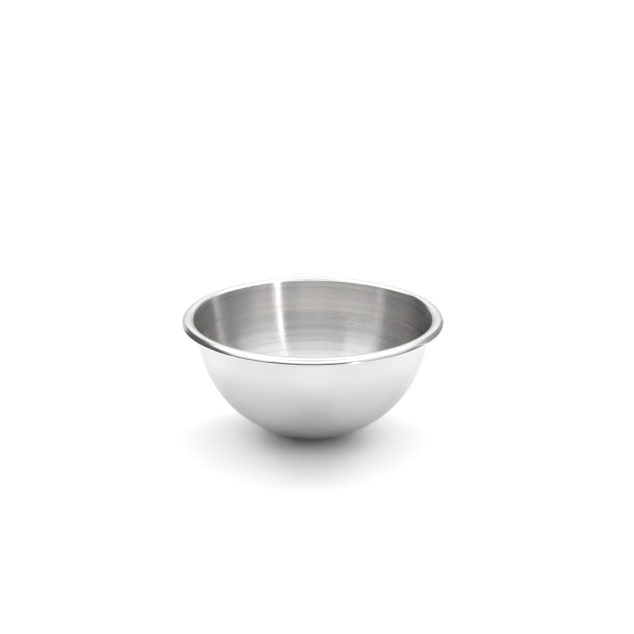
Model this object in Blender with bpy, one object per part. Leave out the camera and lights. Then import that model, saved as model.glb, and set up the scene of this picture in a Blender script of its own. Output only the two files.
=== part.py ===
"""Round-bottom mixing bowl of spun stainless steel with a wired, rolled rim.

Units are metres, +Z is up, and the origin is the middle of the flat that the bowl stands on.
"""

import math

import bmesh
import bpy

# Driving dimensions
INSIDE_DIAMETER = 0.240       # of the round wall
SHEET = 0.0010                # thickness of the steel sheet
BASE_FLAT_DIAMETER = 0.044    # flat pressed into the round bottom
BASE_BLEND_RADIUS = 0.030     # underside, from the flat into the round wall
WALL_LEAN = math.radians(10.0)        # the straight top of the wall leans out by this much
CREASE_RISE = 0.0046          # the crease where the rim starts, over the middle of the round wall
CREASE_INSIDE_RADIUS = 0.0005         # tight bend of that crease
ROLL_RADIUS = 0.00785         # top face of the half-round rim
ROLL_START_ANGLE = math.radians(133.0)   # slope of the rim's face at the crease
ROLL_END_ANGLE = math.radians(24.0)   # slope of the rim's face where the lip starts to turn under
LIP_INSIDE_RADIUS = 0.0008    # tight bend that turns the lip under
WIRE_DIAMETER = 0.0030        # stiffening wire held in the lip
WIRE_CLEARANCE = 0.0003       # between the wire and the sheet around it
LIP_LAP = 0.0020              # how far the turned-under lip reaches past the wire's middle

# Facets
TURN_STEPS = 64
BASE_BLEND_STEPS = 3
WALL_STEPS = 13
CREASE_STEPS = 2
ROLL_STEPS = 9
LIP_STEPS = 4
WIRE_SIDES = 10
SMOOTH_LIMIT = math.radians(35.0)
WELD_DISTANCE = SHEET / 1000

# The middle of the sheet follows these bends, as seen in a half section through the axis
WALL_RADIUS = (INSIDE_DIAMETER + SHEET) / 2
BLEND_RADIUS = BASE_BLEND_RADIUS - SHEET / 2
CREASE_RADIUS = CREASE_INSIDE_RADIUS + SHEET / 2
RIM_RADIUS = ROLL_RADIUS - SHEET / 2
LIP_RADIUS = LIP_INSIDE_RADIUS + SHEET / 2

# Centres of those bends, as (distance from the axis, height)
BLEND_CENTRE = (BASE_FLAT_DIAMETER / 2, BASE_BLEND_RADIUS)
WALL_HEIGHT_OVER_BLEND = math.sqrt((WALL_RADIUS - BLEND_RADIUS) ** 2 - BLEND_CENTRE[0] ** 2)
WALL_CENTRE = (0.0, BLEND_CENTRE[1] + WALL_HEIGHT_OVER_BLEND)
CREASE_CENTRE = (
    (WALL_RADIUS + CREASE_RADIUS + CREASE_RISE * math.sin(WALL_LEAN)) / math.cos(WALL_LEAN),
    WALL_CENTRE[1] + CREASE_RISE,
)
ROLL_CENTRE = (
    CREASE_CENTRE[0] - (RIM_RADIUS - CREASE_RADIUS) * math.cos(ROLL_START_ANGLE),
    CREASE_CENTRE[1] - (RIM_RADIUS - CREASE_RADIUS) * math.sin(ROLL_START_ANGLE),
)
LIP_CENTRE = (
    ROLL_CENTRE[0] + (RIM_RADIUS - LIP_RADIUS) * math.cos(ROLL_END_ANGLE),
    ROLL_CENTRE[1] + (RIM_RADIUS - LIP_RADIUS) * math.sin(ROLL_END_ANGLE),
)

# The sheet's food side faces up on the flat, nearly in to the axis at the mouth and down on the lip
FACING_UP = math.pi / 2
FACING_BLEND_END = FACING_UP + math.atan2(BLEND_CENTRE[0], WALL_HEIGHT_OVER_BLEND)
FACING_MOUTH = math.pi - WALL_LEAN
FACING_DOWN = -math.pi / 2

# The wire lies on the turned-under lip and against the inside of the roll
WIRE_RADIUS = WIRE_DIAMETER / 2
WIRE_HEIGHT = LIP_CENTRE[1] - LIP_INSIDE_RADIUS + WIRE_CLEARANCE + WIRE_RADIUS
WIRE_REACH = ROLL_RADIUS - SHEET - WIRE_CLEARANCE - WIRE_RADIUS
WIRE_RING_RADIUS = ROLL_CENTRE[0] + math.sqrt(WIRE_REACH ** 2 - (WIRE_HEIGHT - ROLL_CENTRE[1]) ** 2)


def steel(name, colour, roughness):
    """A plain metal with one colour."""
    material = bpy.data.materials.new(name)
    material.use_nodes = True
    shader = material.node_tree.nodes["Principled BSDF"]
    shader.inputs["Base Color"].default_value = (*colour, 1.0)
    shader.inputs["Metallic"].default_value = 1.0
    shader.inputs["Roughness"].default_value = roughness
    return material


def bend(centre, radius, start, end, steps):
    """Points round a bend of the sheet, each with the angle that its food side faces.

    The radius is negative where the food side is on the inside of the bend.
    """
    points = []
    for step in range(steps + 1):
        facing = start + (end - start) * step / steps
        across = centre[0] + radius * math.cos(facing)
        height = centre[1] + radius * math.sin(facing)
        points.append((across, height, facing))
    return points


def sheet_path():
    """The middle of the sheet from the axis out over the rim to the end of the turned-under lip."""
    lip_end = WIRE_RING_RADIUS - LIP_LAP
    path = [(0.0, SHEET / 2, FACING_UP)]
    path += bend(BLEND_CENTRE, -BLEND_RADIUS, FACING_UP, FACING_BLEND_END, BASE_BLEND_STEPS)
    path += bend(WALL_CENTRE, -WALL_RADIUS, FACING_BLEND_END, FACING_MOUTH, WALL_STEPS)[1:]
    path += bend(CREASE_CENTRE, CREASE_RADIUS, FACING_MOUTH, ROLL_START_ANGLE, CREASE_STEPS)
    path += bend(ROLL_CENTRE, RIM_RADIUS, ROLL_START_ANGLE, ROLL_END_ANGLE, ROLL_STEPS)[1:]
    path += bend(LIP_CENTRE, LIP_RADIUS, ROLL_END_ANGLE, FACING_DOWN, LIP_STEPS)[1:]
    path.append((lip_end, LIP_CENTRE[1] - LIP_RADIUS, FACING_DOWN))
    return path


def face_of(path, offset):
    """One face of the sheet, the path moved by an offset towards its food side."""
    face = []
    for across, height, facing in path:
        face.append((across + offset * math.cos(facing), height + offset * math.sin(facing)))
    return face


def turned(name, profile, closed, material):
    """A body turned about the Z axis from a profile of (distance from the axis, height) points."""
    shape = bmesh.new()
    points = [shape.verts.new((across, 0.0, height)) for across, height in profile]
    edges = [shape.edges.new(pair) for pair in zip(points, points[1:])]
    if closed:
        edges.append(shape.edges.new((points[-1], points[0])))
    bmesh.ops.spin(
        shape,
        geom=points + edges,
        cent=(0.0, 0.0, 0.0),
        axis=(0.0, 0.0, 1.0),
        angle=2 * math.pi,
        steps=TURN_STEPS,
        use_merge=True,
    )
    bmesh.ops.remove_doubles(shape, verts=shape.verts[:], dist=WELD_DISTANCE)
    bmesh.ops.recalc_face_normals(shape, faces=shape.faces[:])
    mesh = bpy.data.meshes.new(name)
    shape.to_mesh(mesh)
    shape.free()
    mesh.shade_smooth()
    mesh.set_sharp_from_angle(angle=SMOOTH_LIMIT)
    mesh.materials.append(material)
    body = bpy.data.objects.new(name, mesh)
    bpy.context.scene.collection.objects.link(body)
    return body


def build_bowl_shell():
    """The spun sheet: flat, round wall, crease, half-round rim and turned-under lip, all of one thickness."""
    path = sheet_path()
    food_side = face_of(path, SHEET / 2)
    under_side = face_of(path, -SHEET / 2)
    finish = steel("satin_stainless", (0.78, 0.78, 0.77), 0.28)
    return turned("bowl_shell", food_side + under_side[::-1], False, finish)


def build_rim_wire(carrier):
    """The ring of round wire that the lip is turned under, set at its own height."""
    section = []
    for side in range(WIRE_SIDES):
        angle = -2 * math.pi * side / WIRE_SIDES
        section.append((WIRE_RING_RADIUS + WIRE_RADIUS * math.cos(angle), WIRE_RADIUS * math.sin(angle)))
    wire = turned("rim_wire", section, True, steel("drawn_steel_wire", (0.55, 0.55, 0.54), 0.40))
    wire.location.z = WIRE_HEIGHT
    wire.parent = carrier
    return wire


def build_bowl():
    """Clear the scene and build the bowl."""
    for leftover in list(bpy.data.objects):
        bpy.data.objects.remove(leftover, do_unlink=True)
    shell = build_bowl_shell()
    build_rim_wire(shell)


build_bowl()
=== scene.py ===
"""Finish of a round-bottom stainless steel mixing bowl, laid out as a Blender add-on.

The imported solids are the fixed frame. The bowl's sheet and the wire in its rim are modelled again here with
fine surfaces, and are given brushed, satin and polished steel. Units are metres and +Z is up.
"""

import math
from collections import namedtuple

import bpy
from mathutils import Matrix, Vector


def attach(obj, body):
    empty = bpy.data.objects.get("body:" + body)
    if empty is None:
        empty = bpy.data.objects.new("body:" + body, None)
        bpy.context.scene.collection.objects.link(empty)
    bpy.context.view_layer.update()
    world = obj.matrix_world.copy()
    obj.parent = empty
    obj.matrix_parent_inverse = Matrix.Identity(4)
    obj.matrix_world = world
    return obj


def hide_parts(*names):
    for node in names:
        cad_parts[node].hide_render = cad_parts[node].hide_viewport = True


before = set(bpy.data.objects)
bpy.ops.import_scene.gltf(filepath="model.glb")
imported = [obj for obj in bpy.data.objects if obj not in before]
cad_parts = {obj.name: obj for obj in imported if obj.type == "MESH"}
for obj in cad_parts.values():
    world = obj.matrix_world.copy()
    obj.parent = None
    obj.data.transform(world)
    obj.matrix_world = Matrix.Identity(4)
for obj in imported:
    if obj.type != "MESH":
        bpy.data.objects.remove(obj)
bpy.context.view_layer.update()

bl_info = {
    "name": "Round-bottom Mixing Bowl",
    "version": (1, 0, 0),
    "blender": (4, 5, 0),
    "location": "View3D > Sidebar > Mixing Bowl",
    "description": "Models and finishes a spun steel mixing bowl around its packed solids",
    "category": "Add Mesh",
}

# The photograph's frame, in pixels, and where the middle of the round wall lies in it
PHOTO_SIDE = 634
PHOTO_BOWL_CENTRE = (312.8, 321.8)
FRAME_MIDDLE = 0.5

# How many steps a turn, each stretch of the sheet and the wire's section are drawn in
TURN_STEPS = 256
FLAT_STEPS = 4
BLEND_STEPS = 6
WALL_STEPS = 50
STRAIGHT_STEPS = 8
CREASE_STEPS = 6
ROLL_STEPS = 28
LIP_STEPS = 12
WIRE_SIDES = 20

QUARTER_TURN = math.pi / 2
FULL_TURN = 2 * math.pi

# Ways that the food side of the sheet faces, in a half section with the axis at its left
FACING_UP = QUARTER_TURN
FACING_AXIS = math.pi
FACING_DOWN = -QUARTER_TURN

# Places in the shell's list of materials. The back of each place comes right after it.
INSIDE = 0
RIM_TOP = 2
BACK = 1

# A section starts as a plane of this width, which is shrunk to a point
POINT_PLANE = 0.001
# Points nearer than this are welded where a turned section meets itself
WELD = 0.000002
# Edges that bend less than this are shaded smooth
SMOOTH_BEND = math.radians(40.0)

# Lines that working the steel left: their pitch and relief in metres, how far they change tone and
# roughness, and how strongly they draw a reflection out across themselves
WorkLines = namedtuple("WorkLines", "pitch tone polish relief stretch")
BRUSHED_LINES = WorkLines(0.0029, 0.20, 0.06, 0.000002, 1.0)
SATIN_LINES = WorkLines(0.0025, 0.05, 0.10, 0.000001, 0.4)
POLISHED_LINES = WorkLines(0.0012, 0.03, 0.05, 0.0000003, 0.0)
DRAWN_LINES = WorkLines(0.0016, 0.20, 0.20, 0.000002, 0.0)

# The lines come in three sets, each this many times coarser than the one before it
LINE_STEP = 3
# How fast each set changes round the axis
FINE_TURNS = 0.8
MEDIUM_TURNS = 0.6
BROAD_TURNS = 0.4
# What the medium and the broad set add to the bands of tone and polish
MEDIUM_SHARE = 0.55
BROAD_SHARE = 0.45
# What the fine set and the bands add to the scratches of the relief
FINE_SHARE = 0.50
BAND_SHARE = 0.50
NOISE_MIDDLE = 0.5
# Nearer to the axis than this the direction round it isn't worked out
NEAR_AXIS = 0.0001

# Steel reflects less than a plain mirror does where it is seen nearly edge on
STEEL_EDGE = 0.80
# A quarter of a turn as the shader counts it, from along the lines to across them
ACROSS_LINES = 0.25

WHITE = (1.0, 1.0, 1.0, 1.0)
FLOOR_SIDE = 30.0
# The floor lies this far under the base, so that the two faces don't share a plane
FLOOR_DROP = 0.0001
LEFT_AND_RIGHT = (-1, 1)

# The studio's walls as panels of even light. Azimuth is 0 at the camera and grows to its right, and
# elevation is over the horizon, both in degrees. A panel hides the ones before it, and its edges fade
# over the soft angle.
RoomPanel = namedtuple("RoomPanel", "name azimuth half_width low high soft level")
ROOM_PANELS = (
    RoomPanel("ceiling", 0, 180, 42, 95, 16, 1.65),
    RoomPanel("zenith", 0, 180, 73, 95, 12, 1.00),
    RoomPanel("back ceiling", 180, 26, 16, 58, 6, 1.24),
    RoomPanel("front wall", -3, 50, 26, 52, 6, 0.98),
    RoomPanel("low front", -12, 46, -30, 40, 4, 0.10),
    RoomPanel("low left", -74, 21, -30, 26, 4, 0.02),
    RoomPanel("dark left", -119, 33, -30, 41, 4, 0.12),
    RoomPanel("right wall", 66, 26, 20, 51, 6, 0.92),
    RoomPanel("low right", 73.5, 32, -30, 20, 4, 0.02),
    RoomPanel("back wall", 180, 40, -30, 16, 4, 0.92),
    RoomPanel("far right", 123, 27, -30, 32, 3, 0.40),
    RoomPanel("left strip", -70, 1.6, -30, 20, 1.5, 0.80),
    RoomPanel("right strip", 35, 2.4, -30, 27, 1.2, 3.60),
    RoomPanel("far right strip", 111, 2, -30, 30, 1.5, 1.50),
    RoomPanel("right corner", 154, 1.5, -30, 20, 1, 0.10),
    RoomPanel("left window", -60, 19, 30, 52, 6, 1.10),
)

# Radii and centres of the bends that the middle of the sheet follows in a half section, where the base's
# blend ends, the middle of the wire's section and how far in the lip ends
BowlLines = namedtuple(
    "BowlLines",
    "wall blend crease roll lip blend_at wall_at crease_at roll_at lip_at blend_end wire_at lip_end")


class BowlSizes(bpy.types.PropertyGroup):
    """Sizes of the sheet and of the wire in its rim."""

    inside_diameter: bpy.props.FloatProperty(
        name="Inside Diameter", description="Inside diameter of the round wall",
        default=0.240, unit="LENGTH")
    sheet: bpy.props.FloatProperty(
        name="Sheet", description="Thickness of the steel sheet",
        default=0.0010, unit="LENGTH", precision=5)
    base_flat_diameter: bpy.props.FloatProperty(
        name="Base Flat", description="Flat that the bowl stands on",
        default=0.044, unit="LENGTH")
    base_blend_radius: bpy.props.FloatProperty(
        name="Base Blend", description="Underside, from the flat into the wall",
        default=0.030, unit="LENGTH")
    wall_lean: bpy.props.FloatProperty(
        name="Wall Lean", description="How far the straight top of the wall leans out",
        default=math.radians(10.0), subtype="ANGLE")
    crease_rise: bpy.props.FloatProperty(
        name="Crease Rise", description="Crease where the rim starts, over the middle of the round wall",
        default=0.0046, unit="LENGTH", precision=5)
    crease_inside_radius: bpy.props.FloatProperty(
        name="Crease Radius", description="Tight bend of that crease",
        default=0.0005, unit="LENGTH", precision=5)
    roll_radius: bpy.props.FloatProperty(
        name="Roll Radius", description="Top face of the half-round rim",
        default=0.00785, unit="LENGTH", precision=5)
    roll_start_angle: bpy.props.FloatProperty(
        name="Roll Start", description="Slope of the rim at the crease",
        default=math.radians(133.0), subtype="ANGLE")
    roll_end_angle: bpy.props.FloatProperty(
        name="Roll End", description="Slope of the rim where its lip turns under",
        default=math.radians(24.0), subtype="ANGLE")
    lip_inside_radius: bpy.props.FloatProperty(
        name="Lip Radius", description="Tight bend that turns the lip under",
        default=0.0008, unit="LENGTH")
    wire_diameter: bpy.props.FloatProperty(
        name="Wire", description="Stiffening wire held in the lip",
        default=0.0030, unit="LENGTH")
    wire_clearance: bpy.props.FloatProperty(
        name="Wire Clearance", description="Between the wire and the sheet",
        default=0.0003, unit="LENGTH")
    lip_lap: bpy.props.FloatProperty(
        name="Lip Lap", description="Reach of the lip past the wire's middle",
        default=0.0020, unit="LENGTH")
    wire_joint: bpy.props.FloatProperty(
        name="Wire Joint", description="Gap where the wire's ends meet",
        default=0.0004, unit="LENGTH")


class BowlFinish(bpy.types.PropertyGroup):
    """Colours and polish of the steel."""

    polished: bpy.props.FloatVectorProperty(
        name="Polished", description="Colour of the polished rim",
        subtype="COLOR", size=3, default=(0.75, 0.75, 0.752))
    satin: bpy.props.FloatVectorProperty(
        name="Satin", description="Colour of the satin outside",
        subtype="COLOR", size=3, default=(0.65, 0.65, 0.652))
    brushed: bpy.props.FloatVectorProperty(
        name="Brushed", description="Colour of the brushed inside",
        subtype="COLOR", size=3, default=(0.82, 0.808, 0.792))
    wire: bpy.props.FloatVectorProperty(
        name="Wire", description="Colour of the drawn wire",
        subtype="COLOR", size=3, default=(0.50, 0.49, 0.48))
    inside_roughness: bpy.props.FloatProperty(
        name="Inside", description="Roughness of the brushed food side",
        default=0.275, subtype="FACTOR")
    outside_roughness: bpy.props.FloatProperty(
        name="Outside", description="Roughness of the satin outside",
        default=0.20, subtype="FACTOR")
    rim_roughness: bpy.props.FloatProperty(
        name="Rim", description="Roughness of the polished rim",
        default=0.18, subtype="FACTOR")
    wire_roughness: bpy.props.FloatProperty(
        name="Drawn Wire", description="Roughness of the drawn wire",
        default=0.4, subtype="FACTOR")
    brushing_end: bpy.props.FloatProperty(
        name="Brushing End", description="Slope of the crease where the brushing of the inside stops",
        default=math.radians(150.0), subtype="ANGLE")


class BowlStudio(bpy.types.PropertyGroup):
    """Camera and light."""

    elevation: bpy.props.FloatProperty(
        name="Elevation", description="Height of the camera over the horizon",
        default=math.radians(19.1), subtype="ANGLE")
    distance: bpy.props.FloatProperty(
        name="Distance", description="Camera to the middle of the round wall",
        default=1.818, unit="LENGTH")
    lens: bpy.props.FloatProperty(
        name="Lens", description="Focal length of the camera",
        default=100.0, unit="CAMERA")
    floor_tone: bpy.props.FloatProperty(
        name="Floor Tone", description="Tone of the floor where it lights the bowl",
        default=0.75)
    floor_seen: bpy.props.FloatProperty(
        name="Floor Seen", description="Tone of the floor as the camera and the steel see it",
        default=1.07)
    room_level: bpy.props.FloatProperty(
        name="Room", description="Light from the bare walls",
        default=0.78)
    softbox_levels: bpy.props.FloatVectorProperty(
        name="Softboxes", description="Light from the left and the right softbox",
        size=2, default=(5.3, 5.6))
    softbox_size: bpy.props.FloatProperty(
        name="Softbox Size", description="Width and height of each softbox",
        default=1.60, unit="LENGTH")
    softbox_place: bpy.props.FloatVectorProperty(
        name="Softbox Place", description="Middle of the right softbox; the left one mirrors it",
        size=3, default=(2.30, 2.30, 1.90), unit="LENGTH")


def on_circle(centre, radius, facing):
    """The point of a circle in the half section that lies this way from its centre."""
    return (centre[0] + radius * math.cos(facing), centre[1] + radius * math.sin(facing))


def bowl_lines(sizes):
    """Work out the bends of the sheet and the place of the wire from the bowl's sizes."""
    half = sizes.sheet / 2
    wall = sizes.inside_diameter / 2 + half
    blend = sizes.base_blend_radius - half
    crease = sizes.crease_inside_radius + half
    roll = sizes.roll_radius - half
    lip = sizes.lip_inside_radius + half
    blend_at = (sizes.base_flat_diameter / 2, sizes.base_blend_radius)
    rise = math.sqrt((wall - blend) ** 2 - blend_at[0] ** 2)
    wall_at = (0.0, blend_at[1] + rise)
    crease_at = (
        (wall + crease + sizes.crease_rise * math.sin(sizes.wall_lean)) / math.cos(sizes.wall_lean),
        wall_at[1] + sizes.crease_rise,
    )
    roll_at = on_circle(crease_at, crease - roll, sizes.roll_start_angle)
    lip_at = on_circle(roll_at, roll - lip, sizes.roll_end_angle)
    wire_radius = sizes.wire_diameter / 2
    wire_height = lip_at[1] - sizes.lip_inside_radius + sizes.wire_clearance + wire_radius
    wire_reach = sizes.roll_radius - sizes.sheet - sizes.wire_clearance - wire_radius
    wire_ring = roll_at[0] + math.sqrt(wire_reach ** 2 - (wire_height - roll_at[1]) ** 2)
    return BowlLines(
        wall, blend, crease, roll, lip, blend_at, wall_at, crease_at, roll_at, lip_at,
        FACING_UP + math.atan2(blend_at[0], rise), (wire_ring, wire_height), wire_ring - sizes.lip_lap,
    )


def straight(start, end, steps):
    """Points of the sheet along one straight, without the first."""
    return [
        (start[0] + (end[0] - start[0]) * step / steps, start[1] + (end[1] - start[1]) * step / steps)
        for step in range(1, steps + 1)
    ]


def bend(centre, radius, start, end, steps):
    """Points of the sheet round one bend, without the first, from the ways that its food side faces."""
    return [
        on_circle(centre, radius, start + (end - start) * step / steps)
        for step in range(1, steps + 1)
    ]


def sheet_path(sizes):
    """The middle of the sheet from the axis over the rim to the end of its lip, as (across, height)."""
    at = bowl_lines(sizes)
    base_height = sizes.sheet / 2
    facing_mouth = FACING_AXIS - sizes.wall_lean
    crease_start = on_circle(at.crease_at, at.crease, facing_mouth)
    path = [(0.0, base_height)]
    path += straight(path[-1], (at.blend_at[0], base_height), FLAT_STEPS)
    path += bend(at.blend_at, -at.blend, FACING_UP, at.blend_end, BLEND_STEPS)
    path += bend(at.wall_at, -at.wall, at.blend_end, facing_mouth, WALL_STEPS)
    path += straight(path[-1], crease_start, STRAIGHT_STEPS)
    path += bend(at.crease_at, at.crease, facing_mouth, sizes.roll_start_angle, CREASE_STEPS)
    path += bend(at.roll_at, at.roll, sizes.roll_start_angle, sizes.roll_end_angle, ROLL_STEPS)
    path += bend(at.lip_at, at.lip, sizes.roll_end_angle, FACING_DOWN, LIP_STEPS)
    path.append((at.lip_end, at.lip_at[1] - at.lip))
    return path


def draw_profile(name, path):
    """A new mesh left in edit mode, with one line of edges drawn point by point through the path."""
    bpy.ops.object.select_all(action="DESELECT")
    bpy.ops.mesh.primitive_plane_add(size=POINT_PLANE, location=(0.0, 0.0, 0.0))
    piece = bpy.context.active_object
    piece.name = name
    piece.data.name = name
    bpy.ops.object.mode_set(mode="EDIT")
    bpy.ops.mesh.select_all(action="SELECT")
    bpy.ops.mesh.merge(type="CENTER")
    bpy.ops.transform.translate(value=(path[0][0], 0.0, path[0][1]))
    for here, following in zip(path, path[1:]):
        step = (following[0] - here[0], 0.0, following[1] - here[1])
        bpy.ops.mesh.extrude_vertices_move(TRANSFORM_OT_translate={"value": step})
    return piece


def turn_profile(angle):
    """Spin the drawn profile about the Z axis and weld what meets."""
    bpy.ops.mesh.select_all(action="SELECT")
    bpy.ops.mesh.spin(steps=TURN_STEPS, angle=angle, center=(0.0, 0.0, 0.0), axis=(0.0, 0.0, 1.0))
    bpy.ops.mesh.select_all(action="SELECT")
    bpy.ops.mesh.remove_doubles(threshold=WELD)
    bpy.ops.mesh.normals_make_consistent(inside=False)


def from_axis(face):
    """How far the middle of a face lies from the bowl's axis."""
    return face.center.to_2d().length


def finish_piece(piece, node, materials):
    """Hand a modelled piece to the frame in place of its solid."""
    for material in materials:
        piece.data.materials.append(material)
    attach(piece, "root")
    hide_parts(node)


def new_material(name):
    """A new node material, with its nodes, its links and its Principled shader."""
    material = bpy.data.materials.new(name)
    material.use_nodes = True
    tree = material.node_tree
    return material, tree.nodes, tree.links, tree.nodes["Principled BSDF"]


def maths_in(nodes, links):
    """A way to write sums in a node tree."""
    def maths(operation, *values):
        node = nodes.new("ShaderNodeMath")
        node.operation = operation
        for socket, value in zip(node.inputs, values):
            if isinstance(value, (int, float)):
                socket.default_value = value
            else:
                links.new(value, socket)
        return node.outputs[0]
    return maths


def grey(tone):
    """A colour without a hue, for a colour socket."""
    return (tone, tone, tone, 1.0)


def toned(colour, share):
    """This share of a colour, for a colour socket."""
    return (*[channel * share for channel in colour], 1.0)


def steel_material(name, colour, roughness, work):
    """Steel worked round the axis, with the lines of that work in its tone, its polish and its relief."""
    material, nodes, links, shader = new_material(name)
    maths = maths_in(nodes, links)

    place = nodes.new("ShaderNodeTexCoord")
    split = nodes.new("ShaderNodeSeparateXYZ")
    links.new(place.outputs["Object"], split.inputs[0])
    x, y, z = split.outputs
    across = maths("SQRT", maths("ADD", maths("MULTIPLY", x, x), maths("MULTIPLY", y, y)))
    safe_across = maths("MAXIMUM", across, NEAR_AXIS)

    def lines(pitch, turns):
        """Noise that is fine along the section and drawn out round the axis."""
        vector = nodes.new("ShaderNodeCombineXYZ")
        links.new(maths("DIVIDE", across, pitch), vector.inputs[0])
        links.new(maths("DIVIDE", z, pitch), vector.inputs[1])
        links.new(maths("MULTIPLY", maths("DIVIDE", x, safe_across), turns), vector.inputs[2])
        noise = nodes.new("ShaderNodeTexNoise")
        noise.noise_dimensions = "4D"
        noise.inputs["Scale"].default_value = 1.0
        noise.inputs["Detail"].default_value = 0.0
        links.new(vector.outputs[0], noise.inputs["Vector"])
        links.new(maths("MULTIPLY", maths("DIVIDE", y, safe_across), turns), noise.inputs["W"])
        return noise.outputs["Fac"]

    def blended(first, first_share, second, second_share):
        """Two sets of lines added in these shares."""
        return maths("ADD", maths("MULTIPLY", first, first_share), maths("MULTIPLY", second, second_share))

    fine = lines(work.pitch / LINE_STEP, FINE_TURNS)
    medium = lines(work.pitch, MEDIUM_TURNS)
    broad = lines(work.pitch * LINE_STEP, BROAD_TURNS)
    bands = blended(medium, MEDIUM_SHARE, broad, BROAD_SHARE)
    scratches = blended(fine, FINE_SHARE, bands, BAND_SHARE)

    shader.inputs["Metallic"].default_value = 1.0
    shader.inputs["Specular Tint"].default_value = grey(STEEL_EDGE)
    uneven = maths("MULTIPLY", maths("SUBTRACT", bands, NOISE_MIDDLE), work.polish)
    links.new(maths("ADD", uneven, roughness), shader.inputs["Roughness"])
    tint = nodes.new("ShaderNodeMix")
    tint.data_type = "RGBA"
    tint.inputs["A"].default_value = toned(colour, 1 - work.tone)
    tint.inputs["B"].default_value = toned(colour, 1 + work.tone)
    links.new(bands, tint.inputs["Factor"])
    links.new(tint.outputs["Result"], shader.inputs["Base Color"])

    bump = nodes.new("ShaderNodeBump")
    bump.inputs["Strength"].default_value = 1.0
    bump.inputs["Distance"].default_value = work.relief
    links.new(scratches, bump.inputs["Height"])
    links.new(bump.outputs["Normal"], shader.inputs["Normal"])

    if work.stretch:
        shader.inputs["Anisotropic"].default_value = work.stretch
        shader.inputs["Anisotropic Rotation"].default_value = ACROSS_LINES
        tangent = nodes.new("ShaderNodeTangent")
        tangent.direction_type = "RADIAL"
        tangent.axis = "Z"
        links.new(tangent.outputs["Tangent"], shader.inputs["Tangent"])
    return material


class MESH_OT_bowl_shell(bpy.types.Operator):
    """Spin the sheet's section into the bowl and give it its thickness and its three finishes"""

    bl_idname = "mesh.bowl_shell"
    bl_label = "Bowl Shell"

    def execute(self, context):
        sizes = context.scene.bowl_sizes
        finish = context.scene.bowl_finish
        at = bowl_lines(sizes)
        shell = draw_profile("spun_bowl", sheet_path(sizes))
        turn_profile(FULL_TURN)
        bpy.ops.object.mode_set(mode="OBJECT")
        if min(shell.data.polygons, key=from_axis).normal.z < 0:
            shell.data.flip_normals()
        brushing_top = at.crease_at[1] + at.crease * math.sin(finish.brushing_end)
        for face in shell.data.polygons:
            on_rim = face.center.z > brushing_top or from_axis(face) > at.crease_at[0]
            face.material_index = RIM_TOP if on_rim else INSIDE
        brushed = steel_material("brushed_inside", finish.brushed, finish.inside_roughness, BRUSHED_LINES)
        satin = steel_material("satin_outside", finish.satin, finish.outside_roughness, SATIN_LINES)
        polished = steel_material("polished_rim", finish.polished, finish.rim_roughness, POLISHED_LINES)
        finish_piece(shell, "bowl_shell", (brushed, satin, polished, satin))
        bpy.ops.object.modifier_add(type="SOLIDIFY")
        wall = shell.modifiers[-1]
        wall.thickness = sizes.sheet
        wall.offset = 0.0
        wall.use_even_offset = True
        wall.material_offset = BACK
        wall.material_offset_rim = BACK
        bpy.ops.object.modifier_apply(modifier=wall.name)
        bpy.ops.object.shade_smooth_by_angle(angle=SMOOTH_BEND)
        return {"FINISHED"}


class MESH_OT_bowl_rim_wire(bpy.types.Operator):
    """Spin a round section into the ring of wire, with a joint where its ends meet"""

    bl_idname = "mesh.bowl_rim_wire"
    bl_label = "Rim Wire"

    def execute(self, context):
        sizes = context.scene.bowl_sizes
        finish = context.scene.bowl_finish
        ring, height = bowl_lines(sizes).wire_at
        bpy.ops.object.select_all(action="DESELECT")
        bpy.ops.mesh.primitive_circle_add(
            vertices=WIRE_SIDES, radius=sizes.wire_diameter / 2, fill_type="NGON",
            rotation=(QUARTER_TURN, 0.0, 0.0), location=(ring, 0.0, height))
        wire = context.active_object
        wire.name = "rim_wire_ring"
        wire.data.name = wire.name
        bpy.ops.object.transform_apply(location=True, rotation=True, scale=True)
        bpy.ops.object.mode_set(mode="EDIT")
        turn_profile(FULL_TURN - sizes.wire_joint / ring)
        bpy.ops.object.mode_set(mode="OBJECT")
        drawn = steel_material("drawn_wire", finish.wire, finish.wire_roughness, DRAWN_LINES)
        finish_piece(wire, "rim_wire", (drawn,))
        bpy.ops.object.shade_smooth_by_angle(angle=SMOOTH_BEND)
        return {"FINISHED"}


def lay_floor(studio):
    """A plain floor that looks paler to the camera and the steel than the light it throws on the bowl."""
    bpy.ops.object.select_all(action="DESELECT")
    bpy.ops.mesh.primitive_plane_add(size=FLOOR_SIDE, location=(0.0, 0.0, -FLOOR_DROP))
    floor = bpy.context.active_object
    floor.name = "studio_floor"
    material, nodes, links, shader = new_material("white_floor")
    maths = maths_in(nodes, links)
    rays = nodes.new("ShaderNodeLightPath")
    seen = maths("MAXIMUM", rays.outputs["Is Camera Ray"], rays.outputs["Is Glossy Ray"])
    whiten = nodes.new("ShaderNodeMix")
    whiten.data_type = "RGBA"
    whiten.clamp_result = False
    whiten.inputs["A"].default_value = grey(studio.floor_tone)
    whiten.inputs["B"].default_value = grey(studio.floor_seen)
    links.new(seen, whiten.inputs["Factor"])
    links.new(whiten.outputs["Result"], shader.inputs["Base Color"])
    shader.inputs["Roughness"].default_value = 1.0
    shader.inputs["Specular IOR Level"].default_value = 0.0
    floor.data.materials.append(material)


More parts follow.
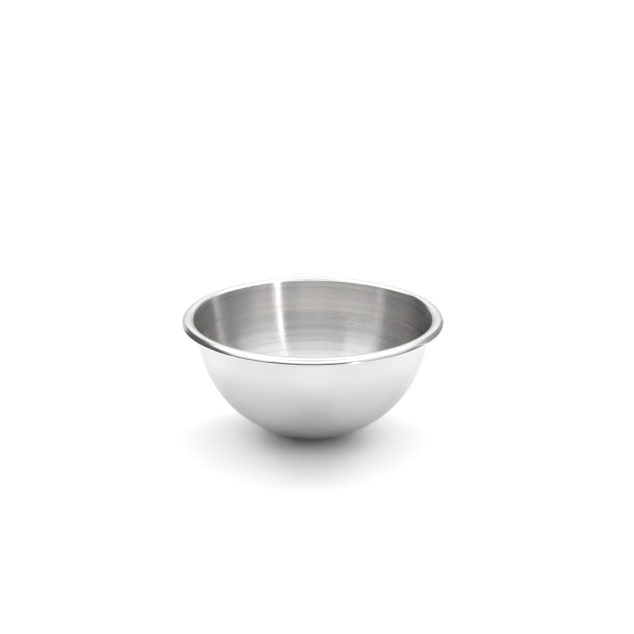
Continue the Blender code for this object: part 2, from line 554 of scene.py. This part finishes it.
def light_room(scene, room_level):
    """A world that lights the bowl from the room's panels and looks plain white to the camera."""
    world = bpy.data.worlds.new("studio_room")
    scene.world = world
    world.use_nodes = True
    nodes, links = world.node_tree.nodes, world.node_tree.links
    maths = maths_in(nodes, links)

    def fade(value, none, full):
        """0 at none, 1 at full, and smooth between them."""
        node = nodes.new("ShaderNodeMapRange")
        node.interpolation_type = "SMOOTHSTEP"
        node.inputs["From Min"].default_value = math.radians(none)
        node.inputs["From Max"].default_value = math.radians(full)
        links.new(value, node.inputs["Value"])
        return node.outputs["Result"]

    place = nodes.new("ShaderNodeTexCoord")
    split = nodes.new("ShaderNodeSeparateXYZ")
    links.new(place.outputs["Generated"], split.inputs[0])
    x, y, z = split.outputs
    elevation = maths("ARCSINE", z)
    azimuth = maths("ARCTAN2", x, maths("MULTIPLY", y, -1.0))
    level = room_level
    for panel in ROOM_PANELS:
        half_soft = panel.soft / 2
        turned = maths("SUBTRACT", azimuth, math.radians(panel.azimuth))
        aside = maths("ABSOLUTE", maths("WRAP", turned, math.pi, -math.pi))
        across = fade(aside, panel.half_width + half_soft, panel.half_width - half_soft)
        over = fade(elevation, panel.low - half_soft, panel.low + half_soft)
        under = fade(elevation, panel.high + half_soft, panel.high - half_soft)
        cover = maths("MULTIPLY", across, maths("MULTIPLY", over, under))
        level = maths("ADD", maths("MULTIPLY", cover, maths("SUBTRACT", panel.level, level)), level)
        level.node.label = panel.name

    rays = nodes.new("ShaderNodeLightPath")
    white = nodes["Background"]
    white.inputs["Color"].default_value = WHITE
    room = nodes.new("ShaderNodeBackground")
    room.inputs["Color"].default_value = WHITE
    links.new(level, room.inputs["Strength"])
    seen = nodes.new("ShaderNodeMixShader")
    links.new(rays.outputs["Is Camera Ray"], seen.inputs[0])
    links.new(room.outputs[0], seen.inputs[1])
    links.new(white.outputs[0], seen.inputs[2])
    links.new(seen.outputs[0], nodes["World Output"].inputs["Surface"])


def hang_softboxes(studio):
    """Two softboxes behind the bowl, which light the floor and aren't mirrored in the steel."""
    across, behind, height = studio.softbox_place
    for side, level in zip(LEFT_AND_RIGHT, studio.softbox_levels):
        place = Vector((side * across, behind, height))
        aim = place.to_track_quat("Z", "Y").to_euler()
        bpy.ops.object.light_add(type="AREA", location=place, rotation=aim)
        softbox = bpy.context.active_object
        softbox.name = "softbox"
        softbox.data.size = studio.softbox_size
        softbox.data.energy = level * math.pi * studio.softbox_size ** 2
        softbox.visible_camera = False
        softbox.visible_glossy = False


def set_camera(scene, studio):
    """A camera at the photograph's angle, framed so that the bowl lies where it does there."""
    bowl_middle = Vector((0.0, 0.0, bowl_lines(scene.bowl_sizes).wall_at[1]))
    to_camera = Vector((0.0, -math.cos(studio.elevation), math.sin(studio.elevation)))
    bpy.ops.object.camera_add(
        location=bowl_middle + to_camera * studio.distance,
        rotation=(QUARTER_TURN - studio.elevation, 0.0, 0.0))
    camera = bpy.context.active_object
    camera.data.lens = studio.lens
    camera.data.shift_x = FRAME_MIDDLE - PHOTO_BOWL_CENTRE[0] / PHOTO_SIDE
    camera.data.shift_y = PHOTO_BOWL_CENTRE[1] / PHOTO_SIDE - FRAME_MIDDLE
    scene.camera = camera


class SCENE_OT_bowl_stage(bpy.types.Operator):
    """Set the floor, the light and the camera"""

    bl_idname = "scene.bowl_stage"
    bl_label = "Stage"

    def execute(self, context):
        scene = context.scene
        studio = scene.bowl_studio
        scene.view_settings.view_transform = "Standard"
        lay_floor(studio)
        light_room(scene, studio.room_level)
        hang_softboxes(studio)
        set_camera(scene, studio)
        return {"FINISHED"}


class VIEW3D_PT_mixing_bowl(bpy.types.Panel):
    """Sidebar panel that lists the bowl's operators and settings"""

    bl_idname = "VIEW3D_PT_mixing_bowl"
    bl_label = "Mixing Bowl"
    bl_space_type = "VIEW_3D"
    bl_region_type = "UI"
    bl_category = "Mixing Bowl"

    def draw(self, context):
        for step in BUILD_STEPS:
            self.layout.operator(step.bl_idname)
        for group_name, group in PROPERTY_GROUPS.items():
            box = self.layout.box()
            for setting in group.__annotations__:
                box.prop(getattr(context.scene, group_name), setting)


BUILD_STEPS = (MESH_OT_bowl_shell, MESH_OT_bowl_rim_wire, SCENE_OT_bowl_stage)
PROPERTY_GROUPS = {"bowl_sizes": BowlSizes, "bowl_finish": BowlFinish, "bowl_studio": BowlStudio}


def register():
    for group_name, group in PROPERTY_GROUPS.items():
        bpy.utils.register_class(group)
        setattr(bpy.types.Scene, group_name, bpy.props.PointerProperty(type=group))
    for kind in BUILD_STEPS + (VIEW3D_PT_mixing_bowl,):
        bpy.utils.register_class(kind)


def unregister():
    for kind in (VIEW3D_PT_mixing_bowl,) + BUILD_STEPS[::-1]:
        bpy.utils.unregister_class(kind)
    for group_name, group in PROPERTY_GROUPS.items():
        delattr(bpy.types.Scene, group_name)
        bpy.utils.unregister_class(group)


def main():
    register()
    bpy.ops.mesh.bowl_shell()
    bpy.ops.mesh.bowl_rim_wire()
    bpy.ops.scene.bowl_stage()


if __name__ == "__main__":
    main()
